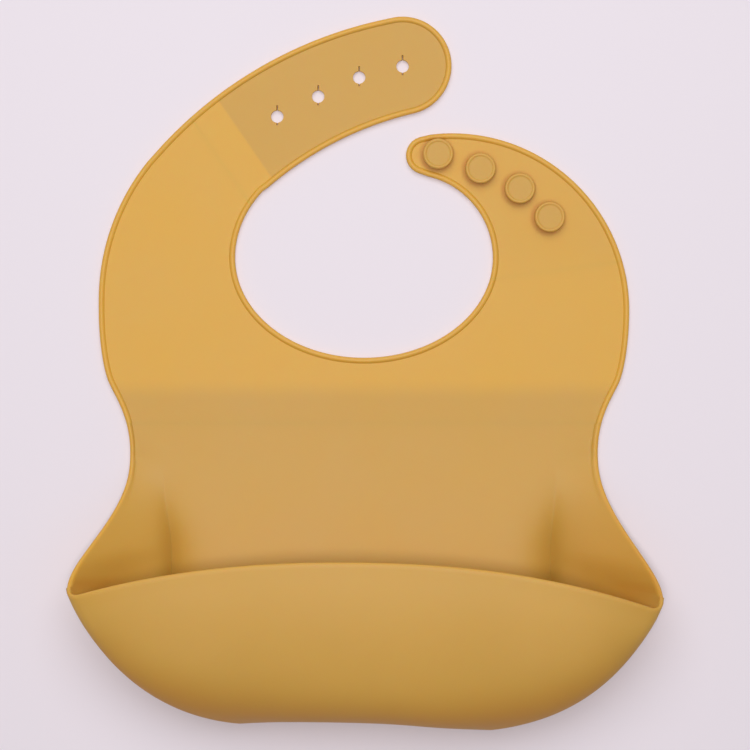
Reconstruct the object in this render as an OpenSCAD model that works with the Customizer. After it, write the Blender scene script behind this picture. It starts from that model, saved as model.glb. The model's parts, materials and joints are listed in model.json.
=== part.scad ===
// Silicone feeding bib with a catch pocket, lying on its back on a table.
// The neck points to +Y, the front of the bib faces +Z, and the origin lies on
// the table under the middle of the outline. All sizes are in millimetres.
// The bib flexes as one moulding. It is split where it bends in use: across
// the chest, at the root of each strap, and low on the front of the pocket.

/* [Sheet] */
// Thickness of the panel, the pocket and the hole strap
panel_t = 1.8; // [1.6:0.1:2]
// Thickness of the softer sheet round the neck
yoke_t = 1.3; // [1.1:0.1:1.4]
// Width of the raised bead along the free edges
bead_w = 2.4; // [2.2:0.1:2.8]
// Height of the top of the bead above the table
bead_h = 2.8; // [2.6:0.1:3.2]

/* [Outline] */
// Width across the shoulders
shoulder_w = 220; // [216:1:224]
// Width at the waist, above the pocket
waist_w = 194; // [190:1:198]
// Width of the neck opening
neck_w = 107; // [105:0.5:109]
// Depth of the neckline below its widest point
neck_drop = 41.5; // [40:0.5:43]

/* [Closure] */
// Diameter of a strap hole
hole_d = 5.2; // [4.6:0.1:5.6]
// Length of the slit above a strap hole
slit_up = 2.4; // [1.6:0.1:3]
// Length of the slit below a strap hole
slit_down = 1.1; // [0.8:0.1:1.6]
// Diameter of a button's head
button_d = 12; // [11:0.2:12.4]
// Diameter of a button's stem
stem_d = 6; // [5.4:0.1:6.6]
// Height of a button above the strap
button_h = 4.6; // [4:0.1:5.2]

/* [Pocket] */
// Width across the corners of the pocket's mouth
mouth_w = 238; // [234:1:241]
// Height of the corners of the mouth above the table
corner_h = 35; // [32:1:37]
// Height of the middle of the lip above the table
lip_h = 46; // [43:1:48]
// Width of the flat back of the pocket, between its creases
back_w = 159; // [156:1:162]

/* [Hidden] */

// Silicone colours: the thin sheet, the thick sheet, and the pocket's inside
thin_colour = [0.87, 0.68, 0.35];
thick_colour = [0.80, 0.64, 0.36];
deep_colour = [0.75, 0.57, 0.28];

mid_z = panel_t / 2;
yoke_z = panel_t - yoke_t;
fold_gap = 1.1; // clear sheet on the fixed side of a bend

// Outline of the upper half, clockwise: centres and radii of its arcs
left_shoulder_r = 91.4;
left_shoulder_c = [left_shoulder_r - shoulder_w / 2, 28.3];
right_shoulder_r = 73.4;
right_shoulder_c = [shoulder_w / 2 - right_shoulder_r, 24];
strap_outer_c = [44.6, -26.6];
strap_outer_r = 175;
strap_inner_c = [53.2, -33];
strap_inner_r = 142.5;
strap_tip_c = [16, 125.5];
strap_tip_r = 20.3;
neck_c = [0, 45.8];
neck_rise = 44.7;
neck_from = 142;
neck_to = 352;
button_inner_r = 34.6;
button_inner_c = [neck_w / 2 - button_inner_r, neck_c.y];
button_tip_c = [26.5, 88.3];
button_tip_r = 8.6;

// Angles on those arcs where the straps bend
hole_bend_outer = 127.3;
hole_bend_inner = 129.3;
button_bend_outer = 27;
button_bend_inner = 8;

// Strap holes and buttons, from the tip of each strap to its root
holes = [[16, 125.2], [-2, 120.6], [-19, 112.7], [-36, 104.4]];
buttons = [[30.7, 89.4], [48.2, 83.2], [64.8, 74.9], [77.3, 62.8]];

// Right-hand curves of the panel and the pocket, as cubic curves in 3D
mouth_y = -92;
lip_y = -77.5;
bottom_y = -143.6;
bottom_z = 18;
lobe = 1.3; // droop of the bottom line from the middle to its ends
side_curve = [[shoulder_w / 2, 24, mid_z], [shoulder_w / 2, -3, mid_z],
              [waist_w / 2, -17, mid_z], [waist_w / 2, -38, mid_z]];
flare_curve = [[waist_w / 2, -38, mid_z], [waist_w / 2, -62, 4],
               [mouth_w / 2, -79, corner_h - 9], [mouth_w / 2, mouth_y, corner_h]];
ridge_curve = [[mouth_w / 2, mouth_y, corner_h], [110, -116.5, 31],
               [90, -142, 20], [56, bottom_y - lobe, bottom_z]];
crease_curve = [[back_w / 2, mouth_y, mid_z], [back_w / 2, -124, mid_z],
                [66, bottom_y, 3], [46, bottom_y, bottom_z]];
back_curve = [[0, mouth_y, mid_z], [0, -124, mid_z],
              [0, bottom_y, 3], [0, bottom_y, bottom_z]];
front_curve = [[0, lip_y, lip_h], [0, -108, lip_h],
               [0, bottom_y, 38], [0, bottom_y, bottom_z]];

fold_at = 0.5;    // place of the chest fold on the side curve
waist_row = 0.37; // row where the side curve gives way to the flare
wall_curl = 0.45; // share of a quarter ellipse in the side wall's section
floor_row = 1.72; // row where the pocket's floor begins
mouth_row = 1;
bottom_row = 2;

function mix(a, b, t) = a + (b - a) * t;
function cubic(p, t) =
    let (u = 1 - t)
    u * u * u * p[0] + 3 * u * u * t * p[1] + 3 * u * t * t * p[2] + t * t * t * p[3];
function unit(v) = v / max(norm(v), 1e-9);
function turn(length, r) = length / r * 180 / PI;
function spot(c, r, a) = c + r * [cos(a), sin(a)];
function arc(c, r, from, to, count) = [for (i = [0 : count - 1]) spot(c, r, mix(from, to, i / (count - 1)))];
function reverse(list) = [for (i = [len(list) - 1 : -1 : 0]) list[i]];

// Distances from a bend at which the bead begins and is full
bead_start = 1.6;
bead_full = 3.6;
// Angle at a distance from a bend, and the two bare points of an edge beside it
function off_bend(bend, way, d, r) = bend + way * turn(d, r);
function bare(c, r, bend, way, gap) = [for (d = [gap, bead_start]) spot(c, r, off_bend(bend, way, d, r))];

// Side of the yoke, from one place on its curve to another
fold_y = cubic(side_curve, fold_at).y;
fold_x = cubic(side_curve, fold_at).x;
side_speed = 0.75 * (side_curve[0].y + side_curve[1].y - side_curve[2].y - side_curve[3].y);
function side_spot(t) = [cubic(side_curve, t).x, cubic(side_curve, t).y];
function above_fold(d) = side_spot(fold_at - d / side_speed);
function side_run(count) =
    [for (i = [0 : count - 1]) side_spot(mix(0, fold_at - bead_full / side_speed, i / (count - 1)))];
function flip(list) = [for (p = list) [-p.x, p.y]];

// Free edges of the three upper pieces, each clockwise round its piece
neckline = concat(
    bare(strap_inner_c, strap_inner_r, hole_bend_inner, 1, fold_gap),
    [spot(strap_inner_c, strap_inner_r, off_bend(hole_bend_inner, 1, bead_full, strap_inner_r))],
    [for (i = [0 : 53])
        let (a = mix(neck_from, neck_to, i / 53))
        neck_c + [neck_w / 2 * cos(a), (a < 180 ? neck_rise : neck_drop) * sin(a)]],
    [spot(button_inner_c, button_inner_r, off_bend(button_bend_inner, -1, bead_full, button_inner_r))],
    reverse(bare(button_inner_c, button_inner_r, button_bend_inner, -1, fold_gap)));
yoke_right = concat(
    bare(right_shoulder_c, right_shoulder_r, button_bend_outer, -1, fold_gap),
    arc(right_shoulder_c, right_shoulder_r,
        off_bend(button_bend_outer, -1, bead_full, right_shoulder_r), 2, 9),
    side_run(9),
    [above_fold(bead_start), above_fold(0)]);
fold_line = [for (i = [1 : 13]) [mix(fold_x, -fold_x, i / 14), fold_y]];
yoke_left = concat(
    flip([above_fold(0), above_fold(bead_start)]),
    flip(reverse(side_run(7))),
    arc(left_shoulder_c, left_shoulder_r, 180, 141, 8),
    arc(strap_outer_c, strap_outer_r,
        137.2, off_bend(hole_bend_outer, 1, bead_full, strap_outer_r), 6),
    reverse(bare(strap_outer_c, strap_outer_r, hole_bend_outer, 1, fold_gap)));
hole_edge = concat(
    bare(strap_outer_c, strap_outer_r, hole_bend_outer, -1, 0),
    arc(strap_outer_c, strap_outer_r,
        off_bend(hole_bend_outer, -1, bead_full, strap_outer_r), 102.5, 14),
    arc(strap_tip_c, strap_tip_r, 104, -74, 18),
    arc(strap_inner_c, strap_inner_r,
        104, off_bend(hole_bend_inner, -1, bead_full, strap_inner_r), 14),
    reverse(bare(strap_inner_c, strap_inner_r, hole_bend_inner, -1, 0)));
button_edge = concat(
    bare(button_inner_c, button_inner_r, button_bend_inner, 1, 0),
    arc(button_inner_c, button_inner_r,
        off_bend(button_bend_inner, 1, bead_full, button_inner_r), 77, 14),
    arc(button_tip_c, button_tip_r, 260, 100, 14),
    arc(right_shoulder_c, right_shoulder_r,
        96.5, off_bend(button_bend_outer, 1, bead_full, right_shoulder_r), 14),
    reverse(bare(right_shoulder_c, right_shoulder_r, button_bend_outer, 1, 0)));

// Share of the bead at each point of an edge: none on the two points at its ends
function beaded(edge) = [for (i = [0 : len(edge) - 1]) i < 2 || i > len(edge) - 3 ? 0 : 1];
function plain(edge) = [for (p = edge) 0];

// Flat sheet inside a clockwise loop, with a round bead where full is 1. The
// two halves of the loop run back to back, so that the sheet is laid between them.
module beaded_sheet(loop, full, from_z) {
    section = [[bead_w, from_z, from_z], [0.85 * bead_w, 0, from_z], [0.35, 0, from_z],
               [0, 0.5, from_z], [0, bead_h - 1, panel_t], [0.18 * bead_w, bead_h - 0.25, panel_t],
               [0.5 * bead_w, bead_h, panel_t], [0.82 * bead_w, bead_h - 0.25, panel_t],
               [bead_w, panel_t, panel_t]];
    m = len(loop);
    n = len(section);
    top = (n - 1) * m;
    function inward(i) =
        let (t = unit(loop[(i + 1) % m] - loop[(i + m - 1) % m])) [t.y, -t.x];
    polyhedron(
        points = [for (q = section, i = [0 : m - 1])
            [each loop[i] + full[i] * q[0] * inward(i), mix(q[2], q[1], full[i])]],
        faces = concat(
            [for (k = [0 : n - 2], j = [0 : m - 1], half = [0, 1])
                let (a = k * m + j, b = k * m + (j + 1) % m)
                half == 0 ? [a, b, b + m] : [a, b + m, a + m]],
            [for (i = [0 : m / 2 - 2], half = [0, 1])
                half == 0 ? [m - 2 - i, i + 1, i] : [m - 1 - i, m - 2 - i, i]],
            [for (i = [0 : m / 2 - 2], half = [0, 1])
                half == 0 ? [top + i, top + i + 1, top + m - 2 - i]
                : [top + i, top + m - 2 - i, top + m - 1 - i]]));
}

// Round edge on a bend's own line, from one point to another
module bend_roll(from, to, from_z) {
    along = to - from;
    translate([from.x, from.y, (panel_t + from_z) / 2])
        rotate([0, 90, atan2(along.y, along.x)])
            cylinder(h = norm(along), r = (panel_t - from_z) / 2 - 0.05, $fn = 32);
}

// Back sheet: row 0 is the chest fold, 1 the mouth and 2 the bottom line.
// Across, 0 is the middle, 0.5 the crease and 1 the edge or the pocket's ridge.
function edge_point(row) =
    row < waist_row ? cubic(side_curve, mix(fold_at, 1, row / waist_row))
    : row <= mouth_row ? cubic(flare_curve, (row - waist_row) / (mouth_row - waist_row))
    : cubic(ridge_curve, row - mouth_row);
function crease_point(row) =
    row <= mouth_row ? [back_w / 2, edge_point(row).y, mid_z] : cubic(crease_curve, row - mouth_row);
function back_middle(row) =
    row <= mouth_row ? [0, edge_point(row).y, mid_z] : cubic(back_curve, row - mouth_row);
function back_point(row, across) =
    let (a = abs(across), s = sign(across), e = edge_point(row), k = crease_point(row),
         m = back_middle(row), g = max(0, 2 * a - 1),
         x = a <= 0.5 ? 2 * a * k.x
             : mix(k.x, e.x, mix(g, sin(90 * g), wall_curl)),
         z = a <= 0.5 ? mix(m.z, k.z, 2 * a)
             : mix(k.z, e.z, mix(g, 1 - cos(90 * g), wall_curl)))
    [s * x, mix(m.y, e.y, pow(x / e.x, 3)), z];
// Front sheet of the pocket, across as a share of its half width
function front_point(row, across) =
    let (a = abs(across), e = edge_point(row), m = cubic(front_curve, row - mouth_row))
    [e.x * across, mix(m.y, e.y, pow(a, 3)), mix(e.z, m.z, sqrt(max(0, 1 - a * a)))];

// Normals towards the inside of the pocket
probe = 0.004;
function back_normal(row, across) =
    unit(cross(back_point(min(row + probe, bottom_row), across) - back_point(max(row - probe, 0), across),
               back_point(row, min(across + probe, 1)) - back_point(row, max(across - probe, -1))));
function front_normal(row, across) =
    unit(cross(front_point(row, min(across + probe, 1)) - front_point(row, max(across - probe, -1)),
               front_point(min(row + probe, bottom_row), across) - front_point(max(row - probe, mouth_row), across)));
function ridge_normal(row, side) = unit(back_normal(row, side) + front_normal(row, side));
function shell_normal(row, across, at_front) =
    row > bottom_row - probe ? [0, 1, 0]
    : abs(across) == 1 && row >= mouth_row ? ridge_normal(row, across)
    : at_front ? front_normal(row, across)
    : back_normal(row, across);
function shell_point(row, across, at_front, offset) =
    (at_front ? front_point(row, across) : back_point(row, across))
    + offset * shell_normal(row, across, at_front);

// Closed solid between two grids of points
module slab(top, bottom) {
    m = len(top[0]);
    n = len(top);
    rim = concat([for (j = [0 : m - 1]) j],
                 [for (i = [1 : n - 1]) i * m + m - 1],
                 [for (j = [m - 2 : -1 : 0]) (n - 1) * m + j],
                 [for (i = [n - 2 : -1 : 1]) i * m]);
    polyhedron(
        points = concat([for (row = top) each row], [for (row = bottom) each row]),
        faces = concat(
            [for (i = [0 : n - 2], j = [0 : m - 2], half = [0, 1])
                let (a = i * m + j)
                half == 0 ? [a, a + 1, a + m + 1] : [a, a + m + 1, a + m]],
            [for (i = [0 : n - 2], j = [0 : m - 2], half = [0, 1])
                let (a = n * m + i * m + j)
                half == 0 ? [a, a + m + 1, a + 1] : [a, a + m, a + m + 1]],
            [for (i = [0 : len(rim) - 1], half = [0, 1])
                let (a = rim[i], b = rim[(i + 1) % len(rim)], d = n * m)
                half == 0 ? [b, a, a + d] : [b, a + d, b + d]]));
}

// Rows of the sheet, closer together where it bends
first_row = fold_gap / side_speed * waist_row / (1 - fold_at);
panel_rows = concat([first_row, 0.04, 0.1], [for (r = [0.2 : 0.1 : 0.9]) r]);
pocket_rows = [for (i = [0 : 6]) mix(mouth_row, floor_row, i / 6)];

sheet_rows = concat(panel_rows, pocket_rows);
panel_across = [-0.5, -0.3, -0.1, 0.1, 0.3, 0.5];

module front_panel() {
    color(thick_colour)
        slab([for (r = sheet_rows) [for (c = panel_across) shell_point(r, c, false, panel_t / 2)]],
             [for (r = sheet_rows) [for (c = panel_across) shell_point(r, c, false, -panel_t / 2)]]);
}

// Side of the panel from the chest fold to the pocket's ridge, beaded down to the mouth
bead_shares = [1, 0.82, 0.5, 0.18, 0];
bead_rises = [0, 0.75, 1, 0.75, 0];
function wall_across(row) =
    let (width = norm(edge_point(row) - crease_point(row)))
    concat([0.5, 0.6, 0.7, 0.8], [for (b = bead_shares) 1 - 0.5 * b * bead_w / width]);
bead_ramp = 0.025; // rows over which the bead rises below the fold
bead_tail = 0.3;   // rows over which it sinks into the edge above the mouth
function bead_fade(row) =
    min(1, max(0, (row - first_row) / bead_ramp)) * min(1, max(0, (mouth_row - row) / bead_tail));
function wall_rise(row, j) = j < 4 ? 0 : bead_rises[j - 4] * (bead_h - panel_t) * bead_fade(row);

module side_wall(side) {
    order = side > 0 ? [0 : 8] : [8 : -1 : 0];
    color(deep_colour)
        slab([for (r = sheet_rows) [for (j = order)
                 shell_point(r, side * wall_across(r)[j], false, panel_t / 2 + wall_rise(r, j))]],
             [for (r = sheet_rows) [for (j = order)
                 shell_point(r, side * wall_across(r)[j], false, -panel_t / 2)]]);
}

// Bottom of the pocket: a ring of wall that closes on the bottom line
module pocket_floor() {
    wall = wall_across(floor_row);
    back_across = concat([for (j = [8 : -1 : 1]) -wall[j]], panel_across, [for (j = [1 : 8]) wall[j]]);
    last_x = edge_point(bottom_row).x;
    rows = [floor_row, 1.78, 1.84, 1.89, 1.93, 1.965, 1.985, bottom_row];
    n = len(back_across);
    ring = concat([for (c = back_across) [c, false]],
                  [for (i = [n - 2 : -1 : 1]) [back_point(bottom_row, back_across[i]).x / last_x, true]]);
    function ring_points(row, offset) = [for (q = ring) shell_point(row, q[0], q[1], offset)];
    m = len(ring);
    k = len(rows);
    color(deep_colour)
        polyhedron(
            points = concat([for (r = rows) each ring_points(r, panel_t / 2)],
                            [for (r = rows) each ring_points(r, -panel_t / 2)]),
            faces = concat(
                [for (i = [0 : k - 2], j = [0 : m - 1], half = [0, 1])
                    let (a = i * m + j, b = i * m + (j + 1) % m)
                    half == 0 ? [a, b, b + m] : [a, b + m, a + m]],
                [for (i = [0 : k - 2], j = [0 : m - 1], half = [0, 1])
                    let (a = k * m + i * m + j, b = k * m + i * m + (j + 1) % m)
                    half == 0 ? [a, b + m, b] : [a, a + m, b + m]],
                [for (j = [0 : m - 1], half = [0, 1])
                    let (a = j, b = (j + 1) % m, d = k * m)
                    half == 0 ? [b, a, a + d] : [b, a + d, b + d]]));
}

// Front of the pocket, clear of the side walls and the floor
module pocket_front() {
    last_row = floor_row - 0.014;
    rows = [for (i = [0 : 7]) mix(mouth_row, last_row, i / 7)];
    across = [for (a = [-84 : 10.5 : 84]) sin(a)];
    color(thick_colour)
        slab([for (r = rows) [for (c = across) shell_point(r, c, true, -panel_t / 2)]],
             [for (r = rows) [for (c = across) shell_point(r, c, true, panel_t / 2)]]);
}

module neck_yoke() {
    color(thin_colour) {
        beaded_sheet(concat(neckline, yoke_right, fold_line, yoke_left),
                     concat(beaded(neckline), beaded(yoke_right), plain(fold_line), beaded(yoke_left)),
                     yoke_z);
        bend_roll([-fold_x + bead_w / 2, fold_y], [fold_x - bead_w / 2, fold_y], yoke_z);
    }
}

module strap_hole(at) {
    slit_w = 0.7;
    translate([at.x, at.y, -1]) {
        cylinder(h = panel_t + 2, d = hole_d, $fn = 48);
        translate([-slit_w / 2, 0, 0]) cube([slit_w, hole_d / 2 + slit_up, panel_t + 2]);
        translate([-slit_w / 2, -hole_d / 2 - slit_down, 0]) cube([slit_w, hole_d / 2, panel_t + 2]);
    }
}

module hole_strap() {
    last = len(hole_edge) - 1;
    color(thick_colour) difference() {
        union() {
            beaded_sheet(hole_edge, beaded(hole_edge), 0);
            bend_roll(mix(hole_edge[last], hole_edge[0], 0.03), mix(hole_edge[last], hole_edge[0], 0.97), 0);
        }
        for (at = holes) strap_hole(at);
    }
}

module button_strap() {
    last = len(button_edge) - 1;
    color(thin_colour) {
        beaded_sheet(button_edge, beaded(button_edge), yoke_z);
        bend_roll(mix(button_edge[0], button_edge[last], 0.03),
                  mix(button_edge[0], button_edge[last], 0.97), yoke_z);
    }
}

// Mushroom button: a waisted stem under a round head with a shallow dished top
module snap_button(i) {
    head_t = 2.5;
    round_r = 0.9;
    dish_r = 4.1;
    dish_depth = 0.3;
    head_z = button_h - head_t;
    r = button_d / 2;
    section = concat(
        [[0, 0], [stem_d / 2 + 0.5, 0], [stem_d / 2, 0.5], [stem_d / 2, head_z]],
        arc([r - round_r, head_z + round_r], round_r, -90, 0, 6),
        arc([r - round_r, button_h - round_r], round_r, 0, 90, 6),
        [[dish_r + 0.4, button_h], [dish_r, button_h - dish_depth], [0, button_h - dish_depth]]);
    color(thin_colour)
        translate([buttons[i].x, buttons[i].y, panel_t])
            rotate_extrude($fn = 64) polygon(section);
}

front_panel();
side_wall(-1);  // left_side_wall
side_wall(1);  // right_side_wall
pocket_floor();
pocket_front();
neck_yoke();
hole_strap();
button_strap();
snap_button(0);  // snap_button_1
snap_button(1);  // snap_button_2
snap_button(2);  // snap_button_3
snap_button(3);  // snap_button_4
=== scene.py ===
import json
import math

import bmesh
import bpy
from mathutils import Matrix, Vector
from mathutils.geometry import interpolate_bezier
from mathutils.kdtree import KDTree
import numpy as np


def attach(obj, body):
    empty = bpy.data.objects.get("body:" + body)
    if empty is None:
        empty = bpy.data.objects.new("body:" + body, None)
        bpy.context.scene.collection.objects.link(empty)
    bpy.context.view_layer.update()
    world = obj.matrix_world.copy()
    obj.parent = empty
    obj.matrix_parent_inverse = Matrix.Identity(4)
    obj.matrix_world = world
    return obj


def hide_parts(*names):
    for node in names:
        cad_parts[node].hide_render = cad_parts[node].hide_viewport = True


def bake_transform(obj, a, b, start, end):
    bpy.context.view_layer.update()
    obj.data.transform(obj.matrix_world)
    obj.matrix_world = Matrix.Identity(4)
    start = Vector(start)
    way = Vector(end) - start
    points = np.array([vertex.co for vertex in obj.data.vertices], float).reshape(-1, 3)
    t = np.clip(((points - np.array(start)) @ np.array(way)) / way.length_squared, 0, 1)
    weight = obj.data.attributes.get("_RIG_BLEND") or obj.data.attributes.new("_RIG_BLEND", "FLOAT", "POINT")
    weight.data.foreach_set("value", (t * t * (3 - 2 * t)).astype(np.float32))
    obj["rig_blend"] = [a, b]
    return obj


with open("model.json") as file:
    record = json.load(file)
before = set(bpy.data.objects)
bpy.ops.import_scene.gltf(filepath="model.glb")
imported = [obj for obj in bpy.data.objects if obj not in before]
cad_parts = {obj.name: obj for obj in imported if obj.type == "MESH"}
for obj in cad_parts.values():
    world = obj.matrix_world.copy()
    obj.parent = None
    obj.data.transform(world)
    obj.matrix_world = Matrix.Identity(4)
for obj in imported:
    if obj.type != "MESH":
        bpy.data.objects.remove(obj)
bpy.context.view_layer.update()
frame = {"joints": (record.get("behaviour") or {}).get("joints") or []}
scene = bpy.context.scene
scene.view_settings.view_transform = "Standard"
joints = {joint["name"]: joint for joint in frame["joints"]}
mm = 0.001  # the sizes in the dictionaries are millimetres
weld = 1e-3  # points this close are one


def mix(a, b, t):
    return a + (b - a) * t


def ease(t):
    t = min(1.0, max(0.0, t))
    return t * t * (3 - 2 * t)


def rise(value, span):  # 0 at the start of the span, 1 at its end
    start, end = span
    return ease((value - start) / (end - start))


def curveAt(points, t):
    a, b, c, d = (Vector(p) for p in points)
    u = 1 - t
    return a * u ** 3 + b * 3 * u * u * t + c * 3 * u * t * t + d * t ** 3


# Camera: straight down on the table, the neck at the top of the frame
view = {"x": 4.57, "y": -2.83, "height": 950.0, "frameWidth": 311.6, "sensor": 36.0}


def placeCamera():
    data = bpy.data.cameras.new("topView")
    data.sensor_width = view["sensor"]
    data.lens = view["sensor"] * view["height"] / view["frameWidth"]
    camera = bpy.data.objects.new("topView", data)
    camera.location = Vector((view["x"], view["y"], view["height"])) * mm
    scene.collection.objects.link(camera)
    scene.camera = camera


placeCamera()
print("camera placed")

# Silicone: the tone of the thin sheet, and the tones painted over it: the thick sheet's and the rim's own tones,
# three tones of painted shade, a pale tone of painted sheen, and the dust speck
silicone = {
    "thin": (0.722, 0.391, 0.044),
    "thick": (0.625, 0.345, 0.053),
    "rim": (0.725, 0.396, 0.055),
    # painted shade: darker tones put where shade falls, in the creases, the corners, the pocket's foot and round
    # the buttons
    "deep": (0.556, 0.256, 0.030),
    "dusk": (0.470, 0.250, 0.036),
    "paintedShadow": (0.560, 0.240, 0.013),
    # painted sheen: a paler tone where light catches the pocket's front, its sides and the buttons' rims
    "paintedSheen": (0.665, 0.378, 0.078),
    "speck": (0.16, 0.09, 0.035),
    "roughness": 0.5,
    "roughnessSwing": 0.10,
    "glow": 0.4,                  # share of light that enters, and how far each colour goes
    "glowRadius": (1.0, 0.45, 0.12),
    "glowScale": 0.0016,
    "specular": 0.6,
    "ior": 1.45,
    "bump": 0.12,
    "bumpDepth": 0.0002,
    "blotchScale": 28.0,
    "blotch": (0.965, 1.035),     # darkest and lightest
    "dustScale": 34.0,
    "dustSize": (0.008, 0.016),   # core and edge of a speck
    "dustStrength": 0.5,
    "grainScale": 1500.0,
    "grainShare": 0.25,
    "waveScale": 120.0,
}
# the thick and rim layers are the silicone's own tones, the next three painted shade and the last painted sheen
layers = ("thick", "rim", "deep", "dusk", "paintedShadow", "paintedSheen")  # each over the one before


def addNode(tree, kind, place, **values):
    node = tree.nodes.new(kind)
    node.location = place
    for key, value in values.items():
        if key in node.inputs:
            node.inputs[key].default_value = value
        else:
            setattr(node, key, value)
    return node


def mixColour(tree, place, share, below, above):
    node = addNode(tree, "ShaderNodeMix", place, data_type="RGBA")
    for source, socket in ((share, 0), (below, 6), (above, 7)):  # the node's sockets for colours
        tree.links.new(source, node.inputs[socket])
    return node.outputs[2]


def mapValue(tree, place, source, before, after):
    node = addNode(tree, "ShaderNodeMapRange", place)
    for socket, value in zip(node.inputs[1:5], (*before, *after)):
        socket.default_value = value
    tree.links.new(source, node.inputs[0])
    return node.outputs[0]


def addScaled(tree, place, source, factor, base):
    node = addNode(tree, "ShaderNodeMath", place, operation="MULTIPLY_ADD")
    tree.links.new(source, node.inputs[0])
    node.inputs[1].default_value = factor
    tree.links.new(base, node.inputs[2])
    return node.outputs[0]


def addTexture(tree, kind, place, coords, output, **values):
    node = addNode(tree, kind, place, **values)
    tree.links.new(coords, node.inputs["Vector"])
    return node.outputs[output]


def makeToneShadeAndMouldGroup():  # the silicone's tones with painted shade and painted sheen over them, soft blotches, sparse dust and the fine matt of the mould
    tree = bpy.data.node_groups.new("siliconeToneShadeAndMould", "ShaderNodeTree")
    addSocket = tree.interface.new_socket
    for name in ("thin", *layers, "speck"):
        addSocket(f"{name}Tone", in_out="INPUT", socket_type="NodeSocketColor")
    for name in (*layers, "roughness"):
        addSocket(name, in_out="INPUT", socket_type="NodeSocketFloat")
    addSocket("Colour", in_out="OUTPUT", socket_type="NodeSocketColor")
    for name in ("Roughness", "Height"):
        addSocket(name, in_out="OUTPUT", socket_type="NodeSocketFloat")
    link = tree.links.new
    given = addNode(tree, "NodeGroupInput", (-1200, 0))
    result = addNode(tree, "NodeGroupOutput", (900, 0))
    coords = addNode(tree, "ShaderNodeTexCoord", (-1200, -400)).outputs["Object"]

    toned = given.outputs["thinTone"]
    for index, layer in enumerate(layers):
        spot = (index * 90 - 1000, 200)
        toned = mixColour(tree, spot, given.outputs[layer], toned, given.outputs[f"{layer}Tone"])

    blotch = addTexture(tree, "ShaderNodeTexNoise", (-900, -200), coords, 0,
                        Scale=silicone["blotchScale"], Detail=3.0, Roughness=0.55)
    blotched = addNode(tree, "ShaderNodeVectorMath", (-480, 100), operation="SCALE")
    link(toned, blotched.inputs[0])
    link(mapValue(tree, (-700, -200), blotch, (0, 1), silicone["blotch"]), blotched.inputs["Scale"])

    dust = addTexture(tree, "ShaderNodeTexVoronoi", (-900, -480), coords, "Distance",
                      Scale=silicone["dustScale"], Randomness=1.0)
    dusty = mapValue(tree, (-700, -480), dust, silicone["dustSize"], (silicone["dustStrength"], 0))
    speckled = mixColour(tree, (-250, 100), dusty, blotched.outputs[0], given.outputs["speckTone"])
    link(speckled, result.inputs["Colour"])

    grain = addTexture(tree, "ShaderNodeTexNoise", (-900, -760), coords, 0,
                       Scale=silicone["grainScale"], Detail=2.0, Roughness=0.6)
    wave = addTexture(tree, "ShaderNodeTexNoise", (-900, -1000), coords, 0,
                      Scale=silicone["waveScale"], Detail=1.0, Roughness=0.4)
    link(addScaled(tree, (-480, -800), grain, silicone["grainShare"], wave), result.inputs["Height"])
    gloss = addScaled(tree, (-480, -500), blotch, silicone["roughnessSwing"], given.outputs["roughness"])
    link(gloss, result.inputs["Roughness"])
    return tree


toneShadeAndMouldGroup = makeToneShadeAndMouldGroup()


def makeSilicone(name):
    material = bpy.data.materials.new(name)
    material.use_nodes = True
    tree = material.node_tree
    shader = tree.nodes["Principled BSDF"]
    shader.inputs["Subsurface Weight"].default_value = silicone["glow"]
    shader.inputs["Subsurface Radius"].default_value = silicone["glowRadius"]
    shader.inputs["Subsurface Scale"].default_value = silicone["glowScale"]
    shader.inputs["Specular IOR Level"].default_value = silicone["specular"]
    shader.inputs["IOR"].default_value = silicone["ior"]
    toneShadeAndMould = addNode(tree, "ShaderNodeGroup", (-400, 200), node_tree=toneShadeAndMouldGroup)
    for key in ("thin", *layers, "speck"):
        toneShadeAndMould.inputs[f"{key}Tone"].default_value = (*silicone[key], 1)
    toneShadeAndMould.inputs["roughness"].default_value = silicone["roughness"]
    for index, layer in enumerate(layers):
        reader = addNode(tree, "ShaderNodeAttribute", (-700, 300 - 200 * index), attribute_name=layer)
        tree.links.new(reader.outputs["Fac"], toneShadeAndMould.inputs[layer])
    bump = addNode(tree, "ShaderNodeBump", (-200, -200),
                   Strength=silicone["bump"], Distance=silicone["bumpDepth"])
    tree.links.new(toneShadeAndMould.outputs["Height"], bump.inputs["Height"])
    tree.links.new(bump.outputs[0], shader.inputs["Normal"])
    tree.links.new(toneShadeAndMould.outputs["Colour"], shader.inputs["Base Color"])
    tree.links.new(toneShadeAndMould.outputs["Roughness"], shader.inputs["Roughness"])
    return material


materials = {slot: makeSilicone(slot) for slot in
             ("panel_silicone", "yoke_silicone", "button_silicone")}
print("silicone mixed")


def sharpen(bm, limit):  # smooth shading, apart from edges that turn by more than this
    for face in bm.faces:
        face.smooth = True
    for edge in bm.edges:
        edge.smooth = edge.calc_face_angle(0) < math.radians(limit)


def toPiece(bm, name, slot):
    mesh = bpy.data.meshes.new(name)
    bm.to_mesh(mesh)
    bm.free()
    mesh.materials.append(materials[slot])
    piece = bpy.data.objects.new(name, mesh)
    scene.collection.objects.link(piece)
    return piece


def paint(piece, layer, shadeAt):  # one value for each vertex, read by the material
    values = piece.data.attributes.new(layer, "FLOAT", "POINT")
    for vertex in piece.data.vertices:
        values.data[vertex.index].value = shadeAt(vertex.co / mm)


# Edge bead: round on the outside and softer where it meets the sheet
bead = {
    "width": 2.4,
    "rise": 0.9,
    "outerPower": 0.5,
    "innerPower": 1.0,
    "steps": 8,
    "wallFoot": 0.45,        # of the outer wall, above the table
    "footGap": 0.35,
    "toneSpan": (2.5, 1.6),  # where the rim's tone starts and is full, from the edge
}
beadAngles = [math.pi * i / bead["steps"] for i in range(bead["steps"] + 1)]
beadGaps = [bead["width"] / 2 * (1 - math.cos(angle)) for angle in beadAngles]


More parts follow.
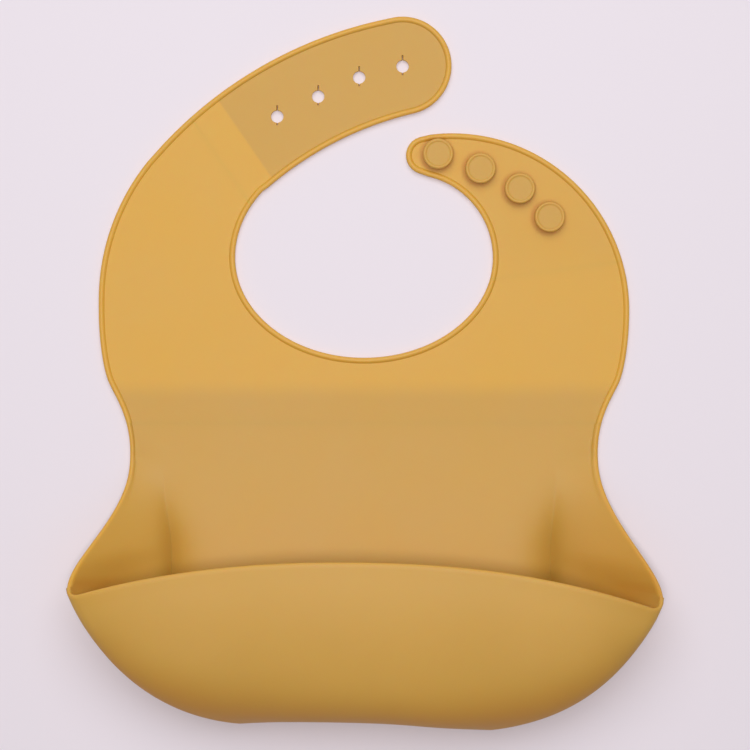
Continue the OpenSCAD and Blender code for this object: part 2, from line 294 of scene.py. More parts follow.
def beadRise(gap):  # height over the sheet at a gap from the free edge
    place = 2 * gap / bead["width"] - 1
    power = bead["outerPower" if place < 0 else "innerPower"]
    return bead["rise"] * max(0, 1 - place * place) ** power


# Flat upper sheet: arcs as centre, radius, first and last angle, squeeze
upper = {
    "top": 1.8,
    "yokeBack": 0.5,
    "sideHigh": ((110, 24, 0), (110, 14, 0), (108.7, 2.3, 0), (106.3, -4.7, 0)),
    "sideLow": ((106.3, -4.7, 0), (103.9, -11.2, 0), (96, -20.5, 0), (97, -38, 0)),
    "sideSteps": (18, 24),
    "arcs": (((-18.6, 28.3), 91.4, 180, 141, 1),
             ((44.6, -26.6), 175, 137.2, 102.5, 1),
             ((16, 125.5), 20.3, 104, -74, 1),
             ((53.2, -33), 142.5, 104, 130.7, 1),
             ((0, 45.8), 53.5, 142, 180, 44.7 / 53.5),
             ((0, 45.8), 53.5, 180, 352, 41.5 / 53.5),
             ((18.9, 45.8), 34.6, -4, 77, 1),
             ((25.2, 88.3), 7.8, 255, 105, 1),
             ((36.6, 24), 73.4, 97, 2, 1)),
    "spacing": 1.8,     # between the outline's points
    "leastSteps": 6,    # of an arc
    "seamAt": 0.66,     # place on the low side curve where the body takes over
    "strapReach": 12,   # half the length that bends at a strap's root
    "seamGap": 13.5,    # from a strap's bend back to its seam
    "bendStep": 2,      # between the cuts that let a strap bend, within a radius of it
    "bendNear": 48,
    "rowCuts": (-14.5, 145.5, 10),    # first, last and step of the cuts across the sheet
    "columnCuts": (-100, 100, 10),
    "foldFrom": -21.25,
    "foldTo": 2.75,
    "foldStep": 2,
    "cutSnap": 1e-5,
    "crisp": 38,        # degrees
}
seamPoint = curveAt(upper["sideLow"], upper["seamAt"])
strapCentre = Vector((53.2, -33, 0))  # of the arc along the hole strap's inner edge
strapLimit = 139.0  # the hole strap lies farther out than this
buttonPlaces = ((30.7, 88.6), (48.2, 82.6), (64.5, 74.3), (76.8, 62.5))
# Painted shadow on the strap round each button, its middle a little to the left of the button's, and the fine
# cuts that carry it
shadowRing = {"from": 6.3, "to": 8.1, "paintedShadow": 0.9, "left": 0.5, "depth": 0.1, "cut": 1.0, "cutOver": 8}
# Tone of the sheet: spans of the chest fold, and of the thick tone it takes towards the upper right over the
# button strap
tone = {"fold": (-3.8, -13.8), "strapStep": 0.4, "dull": 0.32, "dullAcross": (20, 50), "dullUp": (30, 55)}


def spinArc(bm, centre, radius, first, last, squeeze):
    centre = Vector((*centre, 0))
    turn = math.radians(last - first)
    steps = max(upper["leastSteps"], round(abs(turn) * radius / upper["spacing"]))
    angle = math.radians(first)
    start = bm.verts.new(centre + radius * Vector((math.cos(angle), math.sin(angle), 0)))
    count = len(bm.verts) - 1
    bmesh.ops.spin(bm, geom=[start], cent=centre, axis=(0, 0, 1), angle=turn, steps=steps)
    bm.verts.ensure_lookup_table()
    arc = bm.verts[count:]
    bmesh.ops.scale(bm, vec=(1, squeeze, 1), verts=arc, space=Matrix.Translation(-centre))
    return arc


def drawSide(bm, sign):
    highSteps, lowSteps = upper["sideSteps"]
    points = interpolate_bezier(*(Vector(p) for p in upper["sideHigh"]), highSteps)
    points += interpolate_bezier(*(Vector(p) for p in upper["sideLow"]), lowSteps)[1:]
    run = [bm.verts.new((sign * p.x, p.y, 0)) for p in points]
    for pair in zip(run, run[1:]):
        bm.edges.new(pair)
    return run


def drawOutline(bm):
    runs = [drawSide(bm, -1)[::-1]]
    runs += [spinArc(bm, *arc) for arc in upper["arcs"]]
    runs += [drawSide(bm, 1)]
    for here, following in zip(runs, runs[1:] + runs[:1]):
        bm.edges.new((here[-1], following[0]))
    made = bmesh.ops.contextual_create(bm, geom=bm.edges[:])
    return made["faces"][0], [vert.co.copy() for run in runs for vert in run]


def insetTo(bm, face, steps):  # rings of the bead, each a step inwards and a step in height
    for gap, height in steps:
        bmesh.ops.inset_region(bm, faces=[face], thickness=gap, use_boundary=True, use_even_offset=True)
        for vert in face.verts:
            vert.co.z = height


def cutAcross(bm, point, normal, near=None):
    faces = bm.faces[:]
    if near:
        middle, radius = near
        faces = [f for f in faces if (f.calc_center_median() - middle).length < radius]
    edges = {e for f in faces for e in f.edges}
    verts = {v for f in faces for v in f.verts}
    bmesh.ops.bisect_plane(bm, geom=[*faces, *edges, *verts], dist=upper["cutSnap"],
                           plane_co=point, plane_no=normal)


def cutEvery(bm, normal, first, last, step):
    for count in range(round((last - first) / step) + 1):
        cutAcross(bm, normal * (first + count * step), normal)


def bendOf(name):  # a strap's bend: its middle, and the direction from the root to the tip
    x, y, z = joints[name]["axis"]
    return Vector(joints[name]["pos_m"]) / mm, Vector((-y, x, 0))


holeAt, holeOut = bendOf("hole_strap_bend")
buttonAt, buttonOut = bendOf("button_strap_bend")


def onHoleStrap(point, gap):
    return (point - holeAt).dot(holeOut) > gap and (point.xy - strapCentre.xy).length > strapLimit


def onButtonStrap(point, gap):
    return ((point - buttonAt).dot(buttonOut) > gap and point.x > 0
            and (point.xy - strapCentre.xy).length < strapLimit)


def thickness(point):  # 1 on the thick sheet, 0 on the yoke
    low = rise(point.y, tone["fold"])
    if (point.xy - strapCentre.xy).length < strapLimit:
        return low
    strap = (point - holeAt).dot(holeOut) / tone["strapStep"]
    return max(low, min(1, max(0, mix(0.5, 1, strap))))


def cutForBends(bm):
    reach, step = upper["strapReach"], upper["bendStep"]
    places = [-upper["seamGap"], *range(-reach, -1, step), -tone["strapStep"],
              tone["strapStep"], *range(step, reach + 1, step)]
    for at, out in ((holeAt, holeOut), (buttonAt, buttonOut)):
        for place in places:
            cutAcross(bm, at + out * place, out, near=(at, upper["bendNear"]))


def cutRoundButtons(bm, directions):
    steps = round(shadowRing["to"] / shadowRing["cut"])
    for place in buttonPlaces:
        spot = Vector((*place, upper["top"]))
        for step in range(-steps, steps + 1):
            for normal in directions:
                point = spot + normal * step * shadowRing["cut"]
                cutAcross(bm, point, normal, near=(spot, shadowRing["to"] + shadowRing["cutOver"]))


def makeUpperSheet():
    bm = bmesh.new()
    topFace, outline = drawOutline(bm)
    if topFace.normal.z < 0:
        topFace.normal_flip()
    copied = bmesh.ops.duplicate(bm, geom=[topFace])["geom"]
    backFace = next(g for g in copied if isinstance(g, bmesh.types.BMFace))
    bmesh.ops.reverse_faces(bm, faces=[backFace])
    for face, height in ((topFace, upper["top"]), (backFace, bead["wallFoot"])):
        for vert in face.verts:
            vert.co.z = height
    bmesh.ops.bridge_loops(bm, edges=[*topFace.edges, *backFace.edges])
    gaps = [b - a for a, b in zip(beadGaps, beadGaps[1:])]
    insetTo(bm, topFace, [(gap, upper["top"] + beadRise(total)) for gap, total in zip(gaps, beadGaps[1:])])
    insetTo(bm, backFace, [(bead["footGap"], 0), (bead["width"] - 2 * bead["footGap"], 0),
                           (bead["footGap"], upper["yokeBack"])])
    along, across = Vector((0, 1, 0)), Vector((1, 0, 0))
    cutAcross(bm, seamPoint, along)
    cutEvery(bm, along, *upper["rowCuts"])
    cutEvery(bm, across, *upper["columnCuts"])
    cutEvery(bm, along, upper["foldFrom"], upper["foldTo"], upper["foldStep"])
    cutForBends(bm)
    cutRoundButtons(bm, (across, along))
    for vert in bm.verts:  # the back is flush with the bead where the sheet is thick
        if abs(vert.co.z - upper["yokeBack"]) < weld:
            vert.co.z = mix(upper["yokeBack"], 0, thickness(vert.co))
    return bm, outline


upperSheet, outline = makeUpperSheet()
outlineTree = KDTree(len(outline))
for index, point in enumerate(outline):
    outlineTree.insert(point, index)
outlineTree.balance()


def sheetTone(point):  # the button strap takes some of the thick tone, more towards the upper right
    dull = tone["dull"] * rise(point.x, tone["dullAcross"]) * rise(point.y, tone["dullUp"])
    return max(thickness(point), dull)


def buttonShadow(point):  # painted shadow round each button, on the front only
    if point.z < upper["top"] - shadowRing["depth"]:
        return 0
    gap = min((point.xy - Vector((x - shadowRing["left"], y))).length for x, y in buttonPlaces)
    return shadowRing["paintedShadow"] * (1 - rise(gap, (shadowRing["from"], shadowRing["to"])))


def edgeShade(point):
    return rise(outlineTree.find((point.x, point.y, 0))[2], bead["toneSpan"])


def keepFaces(wanted):  # a copy of the upper sheet with only these faces, closed at its seams
    bm = upperSheet.copy()
    lost = [face for face in bm.faces if not wanted(face.calc_center_median())]
    bmesh.ops.delete(bm, geom=lost, context="FACES")
    bmesh.ops.holes_fill(bm, edges=[e for e in bm.edges if e.is_boundary], sides=0)
    bmesh.ops.recalc_face_normals(bm, faces=bm.faces[:])
    return bm


def dressSheet(bm, name, crisp=()):
    sharpen(bm, upper["crisp"])
    for edge in crisp:
        edge.smooth = False
    bmesh.ops.scale(bm, vec=(mm, mm, mm), verts=bm.verts[:])
    piece = toPiece(bm, name, "yoke_silicone")
    paint(piece, "thick", sheetTone)
    paint(piece, "rim", edgeShade)
    # painted shadow round the buttons
    paint(piece, "paintedShadow", buttonShadow)
    return piece


def isYoke(point):
    onStrap = onHoleStrap(point, -upper["seamGap"]) or onButtonStrap(point, -upper["seamGap"])
    return point.y > seamPoint.y and not onStrap


neckYoke = dressSheet(keepFaces(isYoke), "neckYoke")
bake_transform(neckYoke, "panel", "yoke", start=(0, upper["foldFrom"] * mm, 0), end=(0, upper["foldTo"] * mm, 0))
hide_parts("neck_yoke")
print("neck yoke made", len(neckYoke.data.polygons))

# Strap with four holes, each slit above and nicked below
strapHoles = {
    "places": ((16, 125.2), (-2, 120.6), (-19, 112.7), (-36, 104.4)),
    "radius": 2.6,
    "segments": 40,
    "depth": 8,
    "slitUp": 2.0,
    "slitDown": 1.1,
    "slitEnds": ((0.03, -0.2), (0.8, 2.0)),  # width and height of the wedge, at its foot and its top
    "round": 0.18,
    "rimNear": 5.7,      # rim edges lie within this of a hole's middle
    "roundAngle": 1.0,   # radians, of the edges that are rounded and of those that stay crisp
    "crispAngle": 0.1,
}


def makeHoleCutter():
    bm = bmesh.new()
    radius = strapHoles["radius"]
    tall = radius + strapHoles["slitUp"]
    low = radius + strapHoles["slitDown"]
    for x, y in strapHoles["places"]:
        bmesh.ops.create_cone(bm, cap_ends=True, segments=strapHoles["segments"], radius1=radius,
                              radius2=radius, depth=strapHoles["depth"], matrix=Matrix.Translation((x, y, 0)))
        slit = bmesh.ops.create_cube(bm, size=1)["verts"]
        foot = [vert for vert in slit if vert.co.z < 0]
        top = [vert for vert in slit if vert.co.z > 0]
        for rim, (width, height) in zip((foot, top), strapHoles["slitEnds"]):
            bmesh.ops.scale(bm, vec=(width, tall + low, 0), verts=rim)
            bmesh.ops.translate(bm, vec=(x, y + (tall - low) / 2, height), verts=rim)
    mesh = bpy.data.meshes.new("holeCutter")
    bm.to_mesh(mesh)
    bm.free()
    return bpy.data.objects.new("holeCutter", mesh)


def punchHoles(bm):
    solid = bpy.data.meshes.new("strapBlank")
    bm.to_mesh(solid)
    bm.free()
    blank = bpy.data.objects.new("strapBlank", solid)
    cutter = makeHoleCutter()
    for obj in (blank, cutter):
        scene.collection.objects.link(obj)
    punch = blank.modifiers.new("punch", "BOOLEAN")
    punch.object = cutter
    punch.operation = "DIFFERENCE"
    punch.solver = "EXACT"
    punch.use_self = True
    punched = bpy.data.meshes.new_from_object(blank.evaluated_get(bpy.context.evaluated_depsgraph_get()))
    for obj in (blank, cutter):
        bpy.data.objects.remove(obj)
    bm = bmesh.new()
    bm.from_mesh(punched)
    return bm


def holeRims(bm, least):  # front edges of the holes and slits that turn by more than this
    def isRim(edge):
        middle = (edge.verts[0].co + edge.verts[1].co) / 2
        near = min((middle.xy - Vector(place)).length for place in strapHoles["places"])
        flat = all(abs(v.co.z - upper["top"]) < weld for v in edge.verts)
        return near < strapHoles["rimNear"] and flat and edge.calc_face_angle(0) > least
    return [edge for edge in bm.edges if isRim(edge)]


strapBlank = punchHoles(keepFaces(lambda point: onHoleStrap(point, -upper["seamGap"])))
bmesh.ops.bevel(strapBlank, geom=holeRims(strapBlank, strapHoles["roundAngle"]), offset=strapHoles["round"],
                segments=2, profile=0.5, affect="EDGES", material=-1, clamp_overlap=True)
holeStrap = dressSheet(strapBlank, "holeStrap", holeRims(strapBlank, strapHoles["crispAngle"]))
reach = upper["strapReach"]
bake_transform(holeStrap, "yoke", "hole_strap", start=(holeAt - holeOut * reach) * mm,
         end=(holeAt + holeOut * reach) * mm)
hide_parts("hole_strap")
print("hole strap made", len(holeStrap.data.polygons))

buttonStrap = dressSheet(keepFaces(lambda point: onButtonStrap(point, -upper["seamGap"])), "buttonStrap")
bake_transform(buttonStrap, "yoke", "button_strap", start=(buttonAt - buttonOut * reach) * mm,
         end=(buttonAt + buttonOut * reach) * mm)
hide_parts("button_strap")
upperSheet.free()
print("button strap made", len(buttonStrap.data.polygons))

# Buttons: radius and height of the section, from the middle of the top to the foot
button = {
    "section": ((0, 4.26), (2.0, 4.25), (4.0, 4.22), (4.6, 4.21), (4.85, 4.25), (5.02, 4.33), (5.18, 4.44),
                (5.34, 4.53), (5.54, 4.58), (5.76, 4.55), (5.97, 4.44), (6.14, 4.24), (6.26, 4.0), (6.3, 3.7),
                (6.3, 3.0), (6.23, 2.65), (6.05, 2.38), (5.8, 2.2), (5.5, 2.12), (3.6, 2.1), (3.25, 2.0),
                (3.05, 1.75), (3.0, 1.4), (3.0, 0.8), (3.1, 0.45), (3.3, 0.2), (3.6, 0.05), (4.0, -0.05)),
    "turns": 72,
    "crisp": 60,
    "paintedSheen": 0.6,        # painted sheen on the rim round the dish
    "sheenSpan": (4.8, 5.2),
}


def makeButton(number, place):
    bm = bmesh.new()
    lift = Vector((*place, upper["top"]))
    verts = [bm.verts.new(lift + Vector((r, 0, z))) for r, z in button["section"]]
    edges = [bm.edges.new(pair) for pair in zip(verts, verts[1:])]
    bmesh.ops.spin(bm, geom=[*verts, *edges], cent=lift, axis=(0, 0, 1), angle=2 * math.pi,
                   steps=button["turns"], use_merge=True)
    bmesh.ops.remove_doubles(bm, verts=bm.verts[:], dist=weld)
    bmesh.ops.holes_fill(bm, edges=[e for e in bm.edges if e.is_boundary], sides=0)
    bmesh.ops.recalc_face_normals(bm, faces=bm.faces[:])
    sharpen(bm, button["crisp"])
    bmesh.ops.scale(bm, vec=(mm, mm, mm), verts=bm.verts[:])
    piece = toPiece(bm, f"snapButton{number}", "button_silicone")
    paint(piece, "thick", lambda point: 1)
    # painted sheen on the raised rim round the dish
    paint(piece, "paintedSheen", lambda point: button["paintedSheen"] * rise((point - lift).xy.length, button["sheenSpan"]))
    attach(piece, "button_strap")
    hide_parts(f"snap_button_{number}")


for number, place in enumerate(buttonPlaces, 1):
    makeButton(number, place)
print("buttons made", len(buttonPlaces))

# Body: the panel, its wings and the pocket as one skin. Rows: 0 chest fold, 1 mouth, 2 bottom line
body = {
    "thickness": 1.8,
    "side": [(x, y, 0.9) for x, y, z in upper["sideLow"]],
    "flare": ((97, -38, 0.9), (97, -61, 9), (118.8, -77.5, 26), (119, -89.8, 35)),
    "ridge": ((119, -89.8, 35), (110, -115.5, 31), (88, -142, 20), (51.5, -144.9, 18)),
    "crease": ((78.6, -89.8, 0.9), (78.6, -124, 0.9), (64, -143.6, 3), (44, -143.6, 18)),
    "back": ((0, -89.8, 0.9), (0, -124, 0.9), (0, -143.6, 3), (0, -143.6, 18)),
    "front": ((0, -77, 46), (0, -108, 46), (0, -143.6, 38), (0, -143.6, 18)),
    "foldAt": 0.22,             # places of the fold on the side curve, and of the waist among the rows
    "waistRow": 0.37,
    "lift": 5.6,                # of the panel off the table, at the mouth
    "liftRows": (0.2, 0.95),    # rows where it grows, and where it sinks again
    "sinkRows": (1.1, 1.6),
    "groove": 0.96,             # depth of the creases, as a share of the lift
    "grooveRows": (0.37, 0.75),
    "grooveIn": 4.8,            # their reach over the panel and over the walls
    "grooveOut": 3.5,
    "creaseRound": 1.2,
    "creaseTop": 81.0,          # half the gap between the creases where they start
    "creaseRows": (0.45, 0.8),
    "hollowHigh": 1.3,          # power of the wall's section, above the mouth and at it
    "hollowLow": 2.8,
    "hollowRows": (0.75, 1.05),
    "lipBow": 2.3,              # power of the front's bow, at the lip and at the bottom
    "footBow": 3.0,
    "turnRadius": 5.0,          # of the mouth's corners, seen from above
    "turnDepth": {-1: 4.0, 1: 4.9},
    "turnRows": (1, 1.35),
    "lipLean": 0.006,
    "lipRound": 0.75,
    "lipGaps": (0, 0.09, 0.3, 0.75, 1.6),
    "pocketDepth": 62,          # from the lip to the bottom, along the front
    "edgeLeast": 0.3,           # thickness left at a rounded edge, as a share
    "beadSpan": (-62, -26),     # the wing's bead sinks into the edge between these
    "lean": 0.0165,             # the right side lies a little lower than the left
    "shift": 0.6,
    "lieSpan": (-38, -92),
    "skew": 1.8,                # of the creases, to the left
    "sag": 1.5,                 # of the bottom, right of the middle
    "sagAt": 36,
    "sagReach": 22,
    "sagSpan": (-122, -142),
    "panelColumns": 32,
    "panelCrowd": 1.9,          # powers that crowd columns at the creases and rows at the bottom
    "wallColumns": 18,
    "wallCrowd": 1.7,
    "panelRows": 34,
    "pocketRows": 30,
    "pocketCrowd": 0.85,
    "slantStep": 0.002,
    "leastSlant": 0.35,
    "farGap": 9.0,              # stands for any place away from a free edge
    "chest": (0, -50, 0),       # a place where the skin faces up
    "crisp": 50,
}
# Painted shade and sheen on the body: painted shade in the creases, over the right wing, in the mouth's corners
# and at the pocket's foot, painted sheen on the pocket's front
shade = {
    "crease": {-1: {"inReach": 4.2, "outReach": 3.2, "power": 1.0, "foot": 0.0},
               1: {"inReach": 6.5, "outReach": 7.5, "power": 0.75, "foot": 0.35}},
    "creaseDusk": 0.8,
    "footReach": 9.0,           # of the painted shade at the right crease's foot
    "creaseFootRows": (0.8, 0.95),
    "rimSpan": (1.7, 0.8),      # from the free edge
    # painted shade over the right wing, in the mouth's corners and at the pocket's foot
    "rightWing": 0.45,
    "wingSpan": (0, 12),        # from the crease
    "corner": 0.8,
    "cornerRows": {-1: (0.92, 1.0), 1: (0.87, 0.95)},
    "cornerSpan": (0.35, 0.75),  # shares of the wall, from the crease to the edge
    "outerSpan": (0.75, 1.0),
    "foot": 1.0,
    "footHeight": (40, 24),
    "footRows": (1, 1.3),
    "footSpan": (0.5, 1.0),
    "bottomRows": (1.65, 2.0),
    # the lip's rounded edge keeps less of the thick tone: partly its own thinness, partly a painted highlight
    "lip": 0.75,
    "lipSpan": (0, 1.6),
    # painted sheen on the pocket's front, less at the lip, more towards its sides and fading where the foot is
    # shaded
    "lipSheen": 0.55,
    "lipSheenRows": (1, 1.12),
    "paintedSheen": 0.6,
    "sheenPower": 3,
    "sideSheen": 0.35,
    "sideStart": (40, 70),
    "sideEnd": (80, 110),
    # painted shade over the pocket's right end
    "rightEnd": 0.35,
    "rightSpan": (70, 110),
}
seamRow = (upper["seamAt"] - body["foldAt"]) / (1 - body["foldAt"]) * body["waistRow"]


def edgePoint(row):
    if row < body["waistRow"]:
        return curveAt(body["side"], mix(body["foldAt"], 1, row / body["waistRow"]))
    if row <= 1:
        return curveAt(body["flare"], (row - body["waistRow"]) / (1 - body["waistRow"]))
    return curveAt(body["ridge"], row - 1)


def creasePoint(row, side):
    skew = Vector((-side * body["skew"] * (1 - rise(row, body["sinkRows"])), 0, 0))
    if row > 1:
        return curveAt(body["crease"], row - 1) + skew
    x = mix(body["creaseTop"], body["crease"][0][0], rise(row, body["creaseRows"]))
    return Vector((x, edgePoint(row).y, body["thickness"] / 2)) + skew


def backMiddle(row):
    if row > 1:
        return curveAt(body["back"], row - 1)
    return Vector((0, edgePoint(row).y, body["thickness"] / 2))


def liftAndGroove(row):  # both grow down to the mouth and fade in the pocket
    lift = body["lift"] * rise(row, body["liftRows"]) * (1 - rise(row, body["sinkRows"]))
    return lift, lift * body["groove"] * rise(row, body["grooveRows"])


def dip(gap, reach):  # 1 in the rounded bottom of a crease, 0 well away from it
    blunt = body["creaseRound"]
    return math.exp((blunt - math.hypot(gap, blunt)) / reach)


def backPoint(row, across):
    share, side = abs(across), math.copysign(1, across)
    edge, crease, middle = edgePoint(row), creasePoint(row, side), backMiddle(row)
    lift, groove = liftAndGroove(row)
    if share <= 0.5:
        x = 2 * share * crease.x
        z = mix(middle.z, crease.z, 2 * share) + lift - groove * dip(crease.x - x, body["grooveIn"])
    else:
        out = 2 * share - 1
        x = mix(crease.x, edge.x, out)
        hollow = mix(body["hollowHigh"], body["hollowLow"], rise(row, body["hollowRows"]))
        sunk = groove * dip(x - crease.x, body["grooveOut"]) * (1 - out)
        z = mix(crease.z + lift, edge.z, out ** hollow) - sunk
    return Vector((side * x, mix(middle.y, edge.y, (x / edge.x) ** body["footBow"]), z))


def frontPoint(row, across):
    edge, middle = edgePoint(row), curveAt(body["front"], row - 1)
    share = abs(across)
    turn = 1 - rise(row, body["turnRows"])
    inward = min(1, edge.x * (1 - share) / body["turnRadius"])
    quarter = math.sqrt(1 - (1 - inward) ** 2)
    deep = body["turnDepth"][math.copysign(1, across)] * turn
    lean = body["lipLean"] * max(0, edge.x * across) * turn
    bow = mix(body["lipBow"], body["footBow"], ease(row - 1))
    y = mix(middle.y, edge.y - deep, share ** bow) + deep * (1 - quarter) - lean * quarter
    return Vector((edge.x * across, y, mix(edge.z, middle.z, math.sqrt(1 - share * share))))


def edgeColumns(row):  # across values of the columns, from the middle to the edge
    edge = edgePoint(row)
    width = (edge - creasePoint(row, 0)).length
    step = body["slantStep"]
    tangent = edgePoint(min(2, row + step)) - edgePoint(max(0, row - step))
    slant = max(body["leastSlant"], abs(tangent.y) / tangent.length) if row < 1 else 1
    half, count = body["panelColumns"] // 2, body["wallColumns"]
    panel = [0.5 - 0.5 * (1 - i / half) ** body["panelCrowd"] for i in range(half + 1)]
    beads = [1 - 0.5 * gap / slant / width for gap in reversed(beadGaps)]
    wall = [mix(0.5, beads[0], (i / count) ** body["wallCrowd"]) for i in range(1, count)]
    return panel + wall + beads


lipRows = [1 + gap / body["pocketDepth"] for gap in body["lipGaps"]]
panelRows = [mix(seamRow, 1, i / body["panelRows"]) for i in range(body["panelRows"])]
lowShares = [(i / body["pocketRows"]) ** body["pocketCrowd"] for i in range(1, body["pocketRows"] + 1)]
pocketRows = lipRows + [mix(lipRows[-1], 2, share) for share in lowShares]
lastColumn = len(edgeColumns(1)) - 1
beadColumn = lastColumn + 1 - len(beadGaps)
bottomShares = [backPoint(2, across).x / edgePoint(2).x for across in edgeColumns(2)]
bodyLayers = ("edgeGap", "thick", "rim", "deep", "dusk", "paintedSheen")


def footShade(row, height):  # painted shade at the pocket's foot
    return shade["foot"] * rise(height, shade["footHeight"]) * rise(row, shade["footRows"])


def paintedSheenAt(row, foot, x):  # painted sheen on the pocket's front, less at the lip and more towards its sides
    side = shade["sideSheen"] * rise(abs(x), shade["sideStart"]) * (1 - rise(abs(x), shade["sideEnd"]))
    full = (shade["paintedSheen"] + side) * mix(shade["lipSheen"], 1, rise(row, shade["lipSheenRows"]))
    return 0 if row < 1 else full * (1 - foot) ** shade["sheenPower"]


def rightShade(row, x):  # painted shade at the pocket's right end
    return 0 if row < 1 else shade["rightEnd"] * rise(x, shade["rightSpan"])


def creaseShade(row, side, gap):  # painted shade round a crease, where the gap grows from the panel to the wall
    tuck = shade["crease"][side]
    depth = (liftAndGroove(row)[1] / body["lift"]) ** tuck["power"]
    soft = shade["creaseDusk"] * depth * dip(gap, tuck["outReach" if gap > 0 else "inReach"])
    foot = tuck["foot"] * depth * rise(row, shade["creaseFootRows"]) * dip(gap, shade["footReach"])
    return min(1, soft + foot)


def backVertex(row, column):  # place of a vertex, its gap to the free edge and its tones, painted shade and painted sheen among them
    spot = backPoint(row, math.copysign(edgeColumns(row)[abs(column)], column))
    onBead = abs(column) >= beadColumn and row <= 1
    gap = beadGaps[lastColumn - abs(column)] if onBead else body["farGap"]
    side = math.copysign(1, column)
    crease, edge = creasePoint(row, side).x, edgePoint(row)
    out = (abs(spot.x) - crease) / (edge.x - crease)
    rim = rise(gap, shade["rimSpan"])
    lifted = liftAndGroove(row)[0] / body["lift"]
    wing = shade["rightWing"] * rise(spot.x - crease, shade["wingSpan"]) * lifted
    corner = shade["corner"] * rise(row, shade["cornerRows"][side]) * (1 - rim)
    corner *= rise(out, shade["cornerSpan"])
    outer = rise(out, shade["outerSpan"])
    dusk = max(creaseShade(row, side, abs(spot.x) - crease), rightShade(row, spot.x) * outer)
    foot = footShade(row, edge.z)
    paintedSheen = paintedSheenAt(row, foot, spot.x) * outer
    foot *= max(rise(out, shade["footSpan"]), rise(row, shade["bottomRows"]))
    return spot, gap, 1, rim, max(wing, corner, foot), dusk, paintedSheen


def frontVertex(row, column):
    spot = frontPoint(row, math.copysign(bottomShares[abs(column)], column))
    gap = (row - 1) * body["pocketDepth"] if row <= lipRows[-1] else body["farGap"]
    foot = footShade(row, spot.z)
    # the lip's edge takes a lighter tone: partly its thinness, partly a painted highlight
    thick = mix(shade["lip"], 1, rise(gap, shade["lipSpan"]))
    return spot, gap, thick, 0, foot, rightShade(row, spot.x), paintedSheenAt(row, foot, spot.x)


def mapGrid(bm, rows, vertexAt):  # lays a grid's rows and columns on the surface
    layerKeys = [bm.verts.layers.float[name] for name in bodyLayers]
    rowCount = len(rows) - 1
    grid = bmesh.ops.create_grid(bm, x_segments=2 * lastColumn, y_segments=rowCount, size=1)
    for vert in grid["verts"]:
        column = round((vert.co.x + 1) * lastColumn) - lastColumn
        row = rows[round((vert.co.y + 1) / 2 * rowCount)]
        vert.co, *values = vertexAt(row, column)
        for key, value in zip(layerKeys, values):
            vert[key] = value


def lieOf(point):  # how the bib lies: the pocket sits slightly turned, and its bottom sags
    turned = Vector((body["shift"], -body["lean"] * point.x, 0)) * rise(point.y, body["lieSpan"])
    nearness = math.exp(-((point.x - body["sagAt"]) / body["sagReach"]) ** 2)
    sag = body["sag"] * nearness * rise(point.y, body["sagSpan"])
    return point + turned - Vector((0, sag, 0))


def depthsAt(point, gap):  # of the sheet's two faces from its middle, inside and outside
    half = body["thickness"] / 2
    inside = 1 - min(1, gap / body["lipRound"])
    plain = half * max(body["edgeLeast"], math.sqrt(1 - inside * inside))
    beaded = rise(point.y, body["beadSpan"])
    foot = half - (bead["wallFoot"] if gap < bead["footGap"] / 2 else 0)
    return mix(plain, half + beadRise(gap), beaded), mix(plain, foot, beaded)


def thickenSkin(bm):  # the middle of the sheet becomes its two faces, joined round the free edges
    edgeGap = bm.verts.layers.float["edgeGap"]
    pair = bm.verts.layers.int.new("pair")
    sheet = []
    for index, vert in enumerate(bm.verts):
        vert[pair] = index
        sheet.append((vert.co.copy(), vert.normal.copy(), *depthsAt(vert.co, vert[edgeGap])))
    skin = [*bm.verts, *bm.edges, *bm.faces]
    made = bmesh.ops.extrude_face_region(bm, geom=skin, use_keep_orig=True)["geom"]
    insideVerts = {g for g in made if isinstance(g, bmesh.types.BMVert)}
    for vert in bm.verts:
        spot, direction, inner, outer = sheet[vert[pair]]
        vert.co = lieOf(spot + direction * (inner if vert in insideVerts else -outer))
    bmesh.ops.recalc_face_normals(bm, faces=bm.faces[:])
    bm.verts.layers.float.remove(edgeGap)
    bm.verts.layers.int.remove(bm.verts.layers.int["pair"])


def makeBodySkin():
    bm = bmesh.new()
    for name in bodyLayers:
        bm.verts.layers.float.new(name)
    mapGrid(bm, panelRows + pocketRows, backVertex)
    mapGrid(bm, pocketRows, frontVertex)
    bmesh.ops.remove_doubles(bm, verts=bm.verts[:], dist=weld)
    bmesh.ops.recalc_face_normals(bm, faces=bm.faces[:])
    bm.normal_update()
    chest = min(bm.faces, key=lambda face: (face.calc_center_median() - Vector(body["chest"])).length)
    if chest.normal.z < 0:
        bmesh.ops.reverse_faces(bm, faces=bm.faces[:])
        bm.normal_update()
    thickenSkin(bm)
    return bm


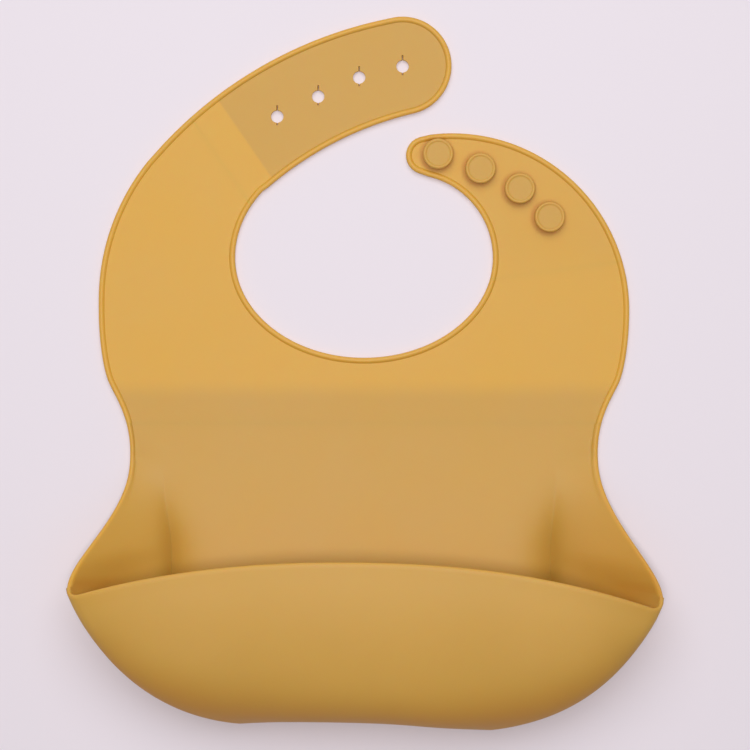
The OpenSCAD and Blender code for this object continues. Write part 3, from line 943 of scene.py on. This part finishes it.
bodySkin = makeBodySkin()
sharpen(bodySkin, body["crisp"])
bmesh.ops.scale(bodySkin, vec=(mm, mm, mm), verts=bodySkin.verts[:])
bibBody = toPiece(bodySkin, "bibBody", "panel_silicone")
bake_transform(bibBody, "panel", "pocket_front", start=(0, -0.1, 0.006), end=(0, -0.1, 0.04))
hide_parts("front_panel", "left_side_wall", "right_side_wall", "pocket_floor", "pocket_front")
print("body made", len(bibBody.data.polygons))

# Table and light: a pale table, a lamp overhead, a wide one beyond the neck and a faint sky
table = {"size": 4.0, "drop": 0.0002, "colour": (0.84, 0.765, 0.83), "roughness": 0.7}
lamps = {
    "window": {"place": (-0.03, 0.62, 1.25), "size": 1.3, "power": 10.0},
    "overhead": {"place": (-0.02, -0.05, 1.4), "size": 0.3, "power": 6.9},
}
skyLevel = 0.223


def makeTable():
    bm = bmesh.new()
    bmesh.ops.create_grid(bm, x_segments=1, y_segments=1, size=table["size"] / 2,
                          matrix=Matrix.Translation((0, 0, -table["drop"])))
    mesh = bpy.data.meshes.new("tableTop")
    bm.to_mesh(mesh)
    bm.free()
    material = bpy.data.materials.new("tableTop")
    material.use_nodes = True
    shader = material.node_tree.nodes["Principled BSDF"]
    shader.inputs["Base Color"].default_value = (*table["colour"], 1)
    shader.inputs["Roughness"].default_value = table["roughness"]
    mesh.materials.append(material)
    top = bpy.data.objects.new("tableTop", mesh)
    scene.collection.objects.link(top)


def makeLamp(name, lamp):
    data = bpy.data.lights.new(name, "AREA")
    data.shape = "DISK"
    data.size = lamp["size"]
    data.energy = lamp["power"]
    soft = bpy.data.objects.new(name, data)
    soft.location = lamp["place"]
    soft.rotation_euler = (-Vector(lamp["place"])).to_track_quat("-Z", "Y").to_euler()
    scene.collection.objects.link(soft)


def makeSky():
    world = bpy.data.worlds.new("sky")
    world.use_nodes = True
    sky = world.node_tree.nodes["Background"]
    sky.inputs["Color"].default_value = (1, 1, 1, 1)
    sky.inputs["Strength"].default_value = skyLevel
    scene.world = world


makeTable()
for name, lamp in lamps.items():
    makeLamp(name, lamp)
makeSky()
print("table and light set")
